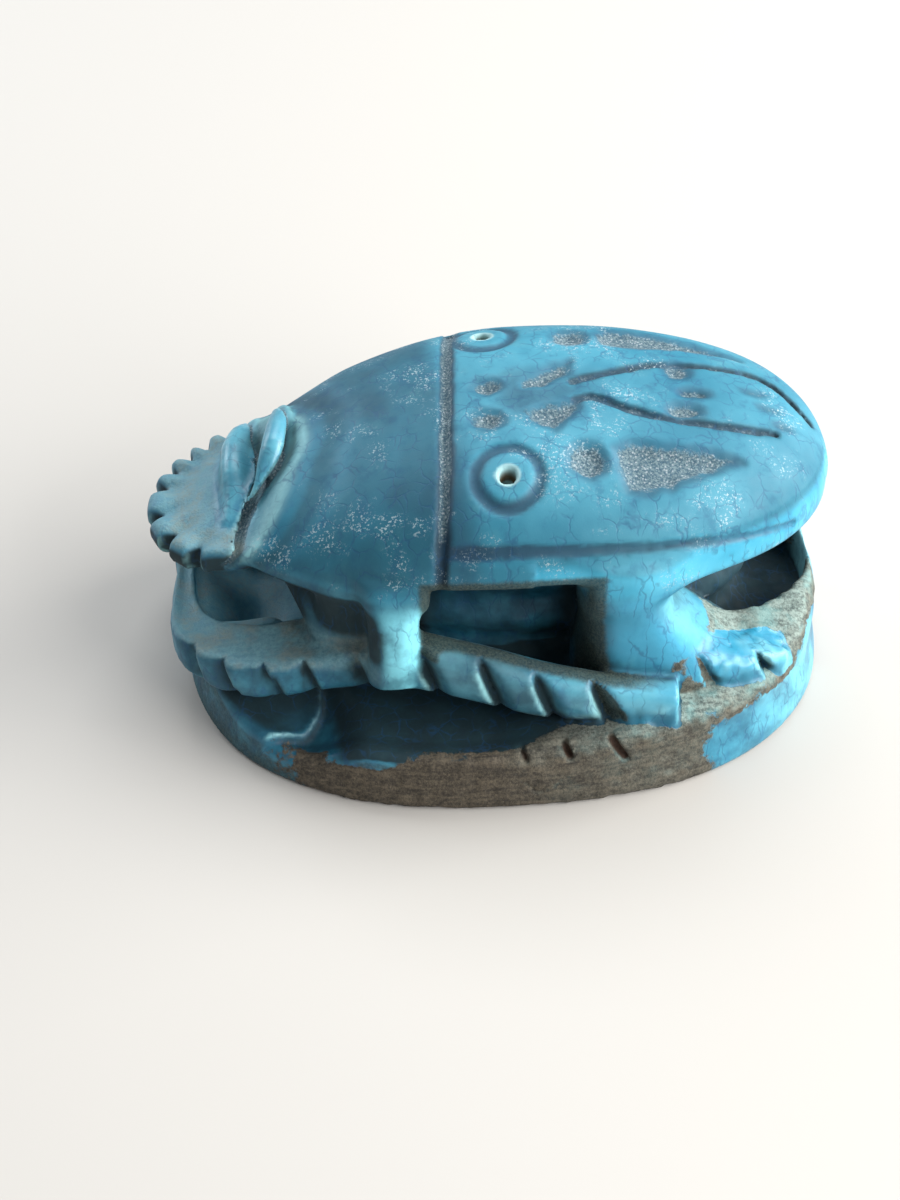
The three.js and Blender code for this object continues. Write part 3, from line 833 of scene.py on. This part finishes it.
corners, faces = skin_mesh(*sample_grid())
carved = mesh_object("carved_scarab", corners, faces)
fewer = carved.modifiers.new("fewer", "DECIMATE")
fewer.ratio = min(1, triangle_limit / (2 * len(faces)))
mesh = applied(carved)
points = np.empty(3 * len(mesh.vertices))
mesh.vertices.foreach_get("co", points)
points = settle(points.reshape(-1, 3) / MM, 2)
points = np.clip(points, low_corner, high_corner)
mesh.vertices.foreach_set("co", (points * MM).ravel())
mesh.update()
mesh.shade_smooth()


# Marks on the skin, one value a corner: how hollow or edge-like it is, how much painted
# shade and painted highlight it takes, and where dirt, pooled glaze, bare stone and dust lie.
bend_reach = 0.55
shade_reaches = (1.5, 3.5, 7.0)


def skin_marks(mesh, points):
    """Outward directions, how hollow or bulging the skin is, and how shut in by stone."""
    edges = np.empty(2 * len(mesh.edges), int)
    mesh.edges.foreach_get("vertices", edges)
    edges = edges.reshape(-1, 2)
    both = np.concatenate((edges, edges[:, ::-1]))
    count = np.bincount(both[:, 0], minlength=len(points))

    def around(values):
        return np.bincount(both[:, 0], values[both[:, 1]], len(points)) / np.maximum(1, count)

    slope = slope_at(points)
    normal = slope / np.maximum(1e-6, np.linalg.norm(slope, axis=1))[:, None]
    ahead = stone_form(*(points + normal * bend_reach).T) / bend_reach
    behind = -stone_form(*(points - normal * bend_reach).T) / bend_reach
    bend = ahead - behind
    for _ in range(2):
        bend = 0.5 * bend + 0.5 * around(bend)
    shade = np.zeros(len(points))
    for reach in shade_reaches:
        open_share = np.clip(stone_form(*(points + normal * reach).T) / reach, 0, 1)
        shade += (1 - open_share) / len(shade_reaches)
    for _ in range(3):
        shade = 0.5 * shade + 0.5 * around(shade)
    return normal, bend, shade


normal, bend, shade = skin_marks(mesh, points)
x, y, z = points.T
away = np.abs(y)
ahead_facing, up = -normal[:, 0], normal[:, 2]
hollow = ease(0.15, 0.7, -bend)

# Parts of the beetle that differ in colour or dirt.
on_back = ease(belt + 0.2, belt + 1.4, z) * ease(-2.2, -0.8, body_form(x, y, z)) * ease(-26, -22, x)
cut_dirt, pooled, eye = (mark * on_back for mark in carving(x, y, z)[1:])
legs = (front_leg, middle_leg, hind_foot)
on_leg = ease(0.7, 0.2, np.minimum.reduce([leg_form(x, away, z, leg) for leg in legs]))
uncut_legs = [leg_form(x, away, z, dict(leg, notches=())) for leg in legs]
in_notch = ease(-0.15, -0.6, np.minimum.reduce(uncut_legs)) * on_leg * ease(13, 14, away)
collar = collar_face(x, y, z)
head_part = ease(-17.5, -20, x) * ease(15, 17.5, z) * (1 - ease(-0.2, 0.25, collar))
leg_part = (1 - on_back) * (1 - head_part) * ease(8, 9.5, z)
crescent = tube_form(x, y, z, crescent_line, crescent_radii)
neck = tube_form(x, y, z, neck_line, neck_radii)
valley = ease(0.6, 1.6, crescent) * ease(0.2, 0.9, neck)

# Floors and hollows: how much painted shade they take under the body, in the windows, on
# the low floor and in the crease under the thorax, and where soil, dust and painted light lie.
under_body = ease(0.3, -0.6, crest_form(x, y)) * ease(17.5, 15, z) * ease(9, 12, x)
in_window = band(-10, -8, 7, 9, x) * ease(9, 10.5, away) * band(8, 10, 19, 21, z)
window_walls = ease(1.5, 0.2, np.abs(window_form(x, away, z))) * ease(10.5, 11.5, away) * ease(13, 14, z)
# Painted shade: dark olive on the thigh's forward faces, turned from the light.
thigh_front = ease(0.2, 0.6, ahead_facing) * band(5, 6, 11, 13, x) * ease(11, 12, away) * ease(19.5, 18, z)
# Painted light: the floor under the head is lightened and taken out of the painted shade.
painted_light_fore_floor = ease(-17, -20, x) * ease(10.6, 9.8, z) * ease(0.3, 0.6, up) * ease(10.5, 8.5, away)
low_floor = ease(8, 7, z) * ease(0.3, 0.7, up) * band(-18, -15, 2, 8, x)
# Grey-brown on the front-left base wall: soil, and painted shade.
low_wall = ease(0.5, 0.1, up) * ease(7, 4, z) * ease(0, -10, x) * ease(0, -8, y)
crease = band(13, 15, 17.6, 18.8, z) * band(-26, -23, -14, -12, x) * ease(7, 9, away)
crease = crease * ease(0.5, 0.1, up)

# Upper sides of the folded legs.
front_top = ease(-12, -16, x) * band(8.5, 9.5, 13, 15, z) * ease(0.35, 0.75, up)
middle_top = band(-11, -8, 8, 16, x) * ease(0.7, 0.95, up) * band(8.5, 9.5, 18, 19, z)
middle_top = middle_top * ease(1.0, -0.5, away - 18.5 - 0.17 * x)
arm_foot = band(10.5, 11.5, 12.5, 14, z) * band(-21, -19, -14, -12.5, x) * ease(8, 9, away)

# Painted highlights on the shoulders, on the thighs' right faces and on the head's ridges;
# grit before the thorax's lip, and a painted highlight along the lip.
shoulder_highlight = ease(0.7, 0.1, upright_form(x, away, z, shoulder)) * ease(20, 17.5, z)
shoulder_highlight = shoulder_highlight * ease(0.5, -0.3, ahead_facing)
thigh_highlight = ease(-0.4, -0.9, ahead_facing) * ease(10, 13, x) * ease(19, 17, z) * ease(8, 10, away)
highlight_places = np.maximum(1.3 * shoulder_highlight, 0.6 * thigh_highlight)
highlight_places = np.maximum(highlight_places, 0.35 * ease(0.6, 0.1, np.minimum(crescent, neck)))
collar_dirt = band(-0.8, -0.5, -0.1, 0.1, collar) * ease(17, 19, z)
collar_lip_highlight = band(-0.1, 0.15, 0.3, 0.9, collar) * ease(18.5, 19.5, z)

marks = {
    "dirt": cut_dirt + 0.5 * hollow * ease(0.25, 0.6, shade) * leg_part * (1 - on_leg) + collar_dirt,
    "pooled": pooled + 0.6 * hollow * (1 - on_leg) + 0.9 * in_notch,
    # Painted shade: the colour darkens in hollows, under the body, in the windows, on the low floor, in
    # the crease under the thorax and on the head's near walls.
    "shade": (shade + under_body + 0.05 * in_window - 0.9 * painted_light_fore_floor + 0.7 * low_floor
              + 0.9 * crease - 0.35 * head_part * ease(0.3, 0.8, up)
              + 0.5 * ease(0.45, -0.1, up) * head_part * ease(0, -3, y)),
    # Pale thin glaze on ridges, and a painted highlight along the thorax's lip.
    "edge": ease(0.3, 1.1, bend) * (1 - 0.6 * on_back) + 0.4 * collar_lip_highlight,
    "bare": bare_stone(x, y, z) * (1 - on_leg) * (1 - under_body),
    # Dust on upper faces, and painted light on the floor under the head.
    "dust_and_painted_light": (head_part * ease(0.3, 0.8, up) * (0.15 + 0.85 * valley) + front_top
             + 0.8 * painted_light_fore_floor + 0.7 * arm_foot),
    # Soil in the windows and on the middle legs' tops, with painted shade on the thighs' fronts and the
    # front-left wall.
    "soil_and_painted_shade": np.maximum(window_walls, thigh_front) + 0.9 * middle_top + 0.75 * low_wall,
    "painted_highlight": highlight_places,
    "rust": 2 * wall_marks(x, y, z),
    # Stone paler towards the back, and painted light on upward faces.
    "pale": (ease(-4, 12, x) * (0.12 + 0.38 * ease(0.2, 0.7, up))
             + 0.5 * ease(0.5, 0.8, up) * ease(8, 14, x)),
    "eye": eye,
    "hind": ease(7, 9, x) * (1 - on_back) * ease(7, 9, z),
    "back": on_back,
    "thorax": on_back * ease(-4, -7, x + 0.1 * y),
}

# The painted highlight may pass one, so that the clouds don't hide it.
highest = {"painted_highlight": 1.3}
for name, values in marks.items():
    values = np.clip(values, 0, highest.get(name, 1))
    attribute = mesh.attributes.new(name, "FLOAT", "POINT")
    attribute.data.foreach_set("value", values.astype(np.float32))


# Glaze: glassy, turquoise over the wing cases and deeper azure on the thorax, pale
# where it is thin on edges, dark where it pooled, crazed all over, with grey grit
# and white crystals in the cuts and bare grey-brown stone where it is missing; painted
# shade darkens the hollows and painted highlights brighten shoulders, thighs and head ridges.
def srgb(red, green, blue):
    def linear(value):
        value = value / 255
        return value / 12.92 if value < 0.04045 else ((value + 0.055) / 1.055) ** 2.4
    return (linear(red), linear(green), linear(blue), 1)


class Nodes:
    """Short calls that add nodes to one tree and link them."""

    def __init__(self, tree):
        self.tree = tree

    def add(self, kind, inputs=None, **settings):
        node = self.tree.nodes.new(kind)
        for name, value in settings.items():
            setattr(node, name, value)
        for key, value in (inputs or {}).items():
            self.put(value, node.inputs[key])
        return node

    def put(self, value, socket):
        if isinstance(value, bpy.types.NodeSocket):
            self.tree.links.new(value, socket)
        else:
            socket.default_value = value

    def math(self, operation, first, second):
        return self.add("ShaderNodeMath", {0: first, 1: second}, operation=operation).outputs[0]

    def ramp(self, value, low, high, start=0.0, end=1.0):
        node = self.add("ShaderNodeMapRange", {0: value, 1: low, 2: high, 3: start, 4: end},
                        interpolation_type="SMOOTHSTEP")
        return node.outputs[0]

    def mix(self, share, first, second):
        node = self.add("ShaderNodeMix", data_type="RGBA")
        self.put(share, node.inputs[0])
        self.put(first, node.inputs[6])
        self.put(second, node.inputs[7])
        return node.outputs[2]

    def coat(self, colour, share, strength, top):
        """One colour over another, as strong as its share of the place."""
        return self.mix(self.math("MULTIPLY", share, strength), colour, top)

    def mark(self, name):
        return self.add("ShaderNodeAttribute", attribute_name=name).outputs["Fac"]

    def ragged(self, name, noise, strength):
        """A mark whose edge wanders with a noise."""
        wander = self.math("MULTIPLY", self.math("SUBTRACT", noise, 0.5), strength)
        return self.math("ADD", self.mark(name), wander)

    def stretched(self, vector, scale, turn=0.0):
        inputs = {"Vector": vector, "Rotation": (0, 0, turn), "Scale": scale}
        return self.add("ShaderNodeMapping", inputs).outputs[0]

    def noise(self, vector, size, detail=3.0, roughness=0.55):
        """Noise with features of about one size in millimetres."""
        inputs = {"Vector": vector, "Scale": 1 / MM / size, "Detail": detail, "Roughness": roughness}
        return self.add("ShaderNodeTexNoise", inputs).outputs["Fac"]


glaze = bpy.data.materials.new("glazed_stone")
glaze.use_nodes = True
glaze.node_tree.nodes.clear()
n = Nodes(glaze.node_tree)
place = n.add("ShaderNodeTexCoord").outputs["Object"]

broad = n.noise(place, 9, 3)
streaks = n.noise(n.stretched(place, (1, 1, 0.3)), 1.6, 4, 0.6)
cloud = n.noise(place, 3.2, 4, 0.6)

# Glaze by part, with darker streaks and thinner clouds.
wing_colour = n.mix(n.ramp(broad, 0.35, 0.65), srgb(46, 162, 196), srgb(88, 196, 226))
thorax_colour = n.mix(n.ramp(broad, 0.35, 0.65), srgb(26, 110, 140), srgb(42, 142, 172))
low_colour = n.mix(n.ramp(cloud, 0.35, 0.7), srgb(26, 104, 132), srgb(60, 150, 178))
low_colour = n.coat(low_colour, n.mark("hind"), 0.7, srgb(62, 172, 208))
colour = n.mix(n.mark("back"), low_colour, wing_colour)
colour = n.mix(n.mark("thorax"), colour, thorax_colour)
colour = n.coat(colour, n.ramp(streaks, 0.52, 0.72), 0.35, srgb(20, 96, 150))
colour = n.coat(colour, n.ramp(cloud, 0.55, 0.8), 0.25, srgb(110, 190, 200))

# Pooled glaze, painted shade in the hollows, and pale thin glaze on edges.
colour = n.coat(colour, n.mark("pooled"), 0.85, srgb(16, 72, 112))
# Painted shade: a dark teal laid where the shade mark is high.
shaded = n.ramp(n.mark("shade"), 0.25, 0.8)
colour = n.coat(colour, shaded, 0.93, srgb(9, 32, 35))
# Pale thin glaze on edges, with a painted highlight along the thorax's lip.
edge = n.math("MULTIPLY", n.mark("edge"), n.ramp(cloud, 0.3, 0.6, 0.5, 1.0))
colour = n.coat(colour, edge, 0.7, srgb(160, 222, 226))
# Painted highlight: pale cyan on the shoulders, the thighs' right faces and the head's ridges.
painted_highlight = n.math("MULTIPLY", n.mark("painted_highlight"), n.ramp(cloud, 0.35, 0.6, 0.35, 0.8))
colour = n.mix(painted_highlight, colour, srgb(136, 224, 238))

# Crackle: the thin edges between cells of about a millimetre and a half.
crackle_size = 1.5
bent = n.add("ShaderNodeMix", data_type="VECTOR")
crackle_noise = n.add("ShaderNodeTexNoise", {"Vector": place, "Scale": 1 / MM / crackle_size})
n.put(0.0011, bent.inputs[0])
n.put(n.stretched(place, (1, 1, 0.22)), bent.inputs[4])
n.put(crackle_noise.outputs["Color"], bent.inputs[5])
craze = n.add("ShaderNodeTexVoronoi", {"Vector": bent.outputs[1], "Scale": 1 / MM / crackle_size},
              feature="DISTANCE_TO_EDGE").outputs["Distance"]
craze = n.ramp(craze, 0.0, 0.07, 1.0, 0.0)
craze = n.math("MULTIPLY", craze, n.ramp(n.noise(place, 2.5), 0.4, 0.6))
colour = n.coat(colour, craze, 0.45, srgb(14, 70, 110))

# Grit with white crystals in the cuts, and a salt of crystals on the back.
crystal_size = 0.34
crystals = n.add("ShaderNodeTexVoronoi", {"Vector": place, "Scale": 1 / MM / crystal_size})
crystals = n.ramp(crystals.outputs["Distance"], 0.22, 0.34, 1, 0)
grains = n.noise(place, 0.22, 2, 0.7)
grit_colour = n.mix(n.ramp(grains, 0.4, 0.62), srgb(52, 84, 100), srgb(106, 128, 134))
grit_colour = n.coat(grit_colour, crystals, 0.5, srgb(180, 188, 192))
grit_edge = n.noise(place, 0.7, 3, 0.65)
grit = n.ramp(n.ragged("dirt", grit_edge, 1.1), 0.3, 0.85)
colour = n.mix(grit, colour, grit_colour)
patch = n.math("MULTIPLY", n.ramp(n.noise(place, 4.5, 3), 0.53, 0.66), n.mark("back"))
salt = n.math("MULTIPLY", patch, n.ramp(n.noise(place, 0.28, 2, 0.8), 0.55, 0.64))
colour = n.coat(colour, salt, 0.75, srgb(176, 196, 202))

# Dust on upper faces and painted light on the floor under the head; soil in the windows,
# with painted shade on the thighs' front faces and the front-left base wall.
dust_noise = n.ramp(n.noise(place, 0.5, 3, 0.7), 0.3, 0.7, 0.55, 1.0)
dust_colour = n.mix(n.ramp(cloud, 0.4, 0.62), srgb(118, 164, 172), srgb(134, 144, 134))
dust_and_painted_light = n.math("MULTIPLY", n.math("MULTIPLY", n.mark("dust_and_painted_light"), dust_noise), 0.75)
colour = n.mix(dust_and_painted_light, colour, dust_colour)
soil_colour = n.mix(n.ramp(grains, 0.35, 0.65), srgb(26, 42, 40), srgb(66, 76, 66))
soil_and_painted_shade = n.math("MULTIPLY", n.ramp(n.ragged("soil_and_painted_shade", grit_edge, 0.45), 0.2, 0.9), 0.85)
colour = n.mix(soil_and_painted_shade, colour, soil_colour)

# Bare stone, scratched and grained, dark in front, partly painted shade of the near wall, and
# paler on the rough top behind and on upward faces, partly painted light.
scratches = n.noise(n.stretched(place, (0.12, 1, 1), math.radians(24)), 0.55, 2, 0.6)
stone_grain = n.mix(0.4, n.noise(place, 0.3, 4, 0.75), scratches)
stone_cloud = n.ramp(n.noise(place, 3.5, 4, 0.6), 0.3, 0.55, 0.5, 1.0)
dark_stone = n.mix(n.ramp(stone_grain, 0.35, 0.68), srgb(46, 41, 34), srgb(102, 92, 76))
pale_stone = n.mix(n.ramp(stone_grain, 0.36, 0.6), srgb(80, 94, 90), srgb(150, 168, 160))
pale_stone = n.coat(pale_stone, n.ramp(cloud, 0.45, 0.6), 0.5, srgb(120, 170, 168))
stone_colour = n.coat(dark_stone, n.mark("pale"), stone_cloud, pale_stone)
bare_mask = n.ramp(n.ragged("bare", grit_edge, 1.2), 0.36, 0.66)
colour = n.mix(bare_mask, colour, stone_colour)

# Rust-brown in the tool cuts, pale rims and dark bottoms of the drilled eyes.
colour = n.mix(n.ramp(n.mark("rust"), 0.3, 0.9), colour, srgb(62, 42, 28))
colour = n.coat(colour, n.ramp(n.mark("eye"), 0.1, 0.5), 0.7, srgb(176, 214, 214))
colour = n.mix(n.ramp(n.mark("eye"), 0.75, 0.95), colour, srgb(78, 62, 38))

rough_parts = n.math("MAXIMUM", grit, bare_mask)
rough_parts = n.math("MAXIMUM", n.math("MAXIMUM", rough_parts, dust_and_painted_light), soil_and_painted_shade)
roughness = n.ramp(n.math("MAXIMUM", rough_parts, shaded), 0.0, 1.0, 0.3, 0.75)
roughness = n.math("ADD", roughness, n.ramp(streaks, 0.3, 0.8, 0.0, 0.14))

height = n.math("MULTIPLY", n.noise(place, 0.25, 3, 0.7), n.ramp(rough_parts, 0.0, 1.0, 0.06, 1.0))
height = n.math("SUBTRACT", height, n.math("MULTIPLY", craze, 0.12))
height = n.math("ADD", height, n.math("MULTIPLY", cloud, 0.35))
bump = n.add("ShaderNodeBump", {"Strength": 0.55, "Distance": 0.00016, "Height": height})
surface = n.add("ShaderNodeBsdfPrincipled", {"Base Color": colour, "Roughness": roughness,
                                             "Normal": bump.outputs[0], "IOR": 1.52})
n.add("ShaderNodeOutputMaterial", {"Surface": surface.outputs[0]})

mesh.materials.append(glaze)
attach(carved, "root")
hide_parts("scarab")


# Stage: a plain pale floor.
floor_reach = 1.5
floor_corners = [(x * floor_reach, y * floor_reach, 0) for x, y in ((-1, -1), (1, -1), (1, 1), (-1, 1))]
floor_mesh = bpy.data.meshes.new("floor")
floor_mesh.from_pydata(floor_corners, [], [(0, 1, 2, 3)])
floor = bpy.data.objects.new("floor", floor_mesh)
bpy.context.scene.collection.objects.link(floor)
pale = bpy.data.materials.new("pale_floor")
pale.use_nodes = True
pale_surface = pale.node_tree.nodes["Principled BSDF"]
pale_surface.inputs["Base Color"].default_value = srgb(196, 192, 186)
pale_surface.inputs["Roughness"].default_value = 0.7
floor_mesh.materials.append(pale)


# Light: a large soft window at the right, a high one behind, and weak ones in front
# and behind at the left.
def soft_light(name, place_mm, size_mm, power, colour):
    data = bpy.data.lights.new(name, "AREA")
    data.shape = "RECTANGLE"
    data.size = size_mm[0] * MM
    data.size_y = size_mm[1] * MM
    data.energy = power
    data.color = colour
    lamp = bpy.data.objects.new(name, data)
    lamp.location = Vector(place_mm) * MM
    lamp.rotation_euler = (Vector((0, 0, 12)) - Vector(place_mm)).to_track_quat("-Z", "Y").to_euler()
    bpy.context.scene.collection.objects.link(lamp)


soft_light("window", (400, 20, 230), (360, 280), 3.4, (1.0, 0.99, 0.97))
soft_light("front", (300, -260, 220), (220, 220), 1.4, (1.0, 1.0, 1.0))
soft_light("left", (-300, 280, 200), (260, 200), 0.9, (0.88, 0.94, 1.0))
soft_light("top", (40, 260, 420), (300, 260), 1.2, (0.94, 0.97, 1.0))
world = bpy.data.worlds.new("studio")
world.use_nodes = True
background = world.node_tree.nodes["Background"]
background.inputs["Color"].default_value = (0.86, 0.9, 0.95, 1)
background.inputs["Strength"].default_value = 0.32
bpy.context.scene.world = world
bpy.context.scene.view_settings.view_transform = "Standard"
